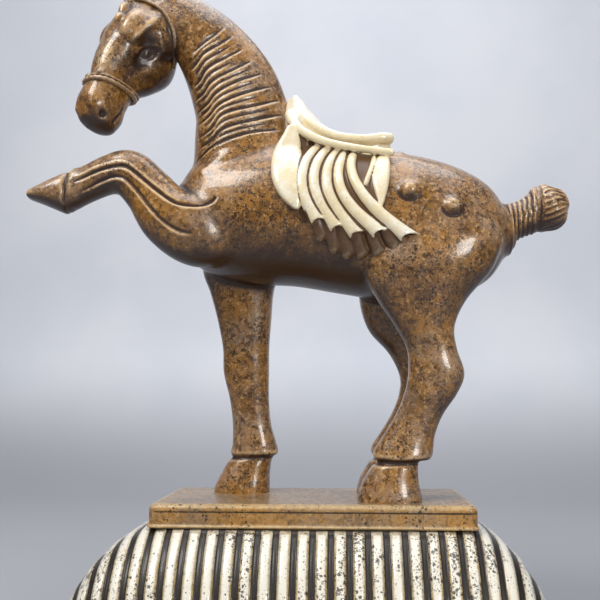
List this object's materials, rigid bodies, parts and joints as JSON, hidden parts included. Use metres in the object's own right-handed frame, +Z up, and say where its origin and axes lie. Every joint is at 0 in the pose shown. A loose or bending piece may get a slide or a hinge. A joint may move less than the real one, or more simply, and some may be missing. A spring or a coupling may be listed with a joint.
{
  "type": "ceramic war horse sculpture",
  "caption": "Glazed ceramic horse with a raised foreleg, bridle and draped saddle, cast with an oblong plate that stands on a ribbed cushion-shaped pedestal.",
  "frame": {"origin": "middle of the pedestal's flat underside", "axes": "+Z up; the horse looks along -X, and its left side, with the raised foreleg, is on -Y"},
  "size_m": [0.4215, 0.196, 0.5427],
  "materials": {
    "antique_gold_glaze": "glossy antique gold-brown glaze with dark brown speckles and recesses, ivory on the saddle",
    "silvered_rib_glaze": "silvered ivory ribs with dark specks and black-brown grooves, satin"
  },
  "bodies": {
    "root": {"horse_on_plate": "antique_gold_glaze", "ribbed_pedestal": "silvered_rib_glaze"}
  },
  "joints": []
}
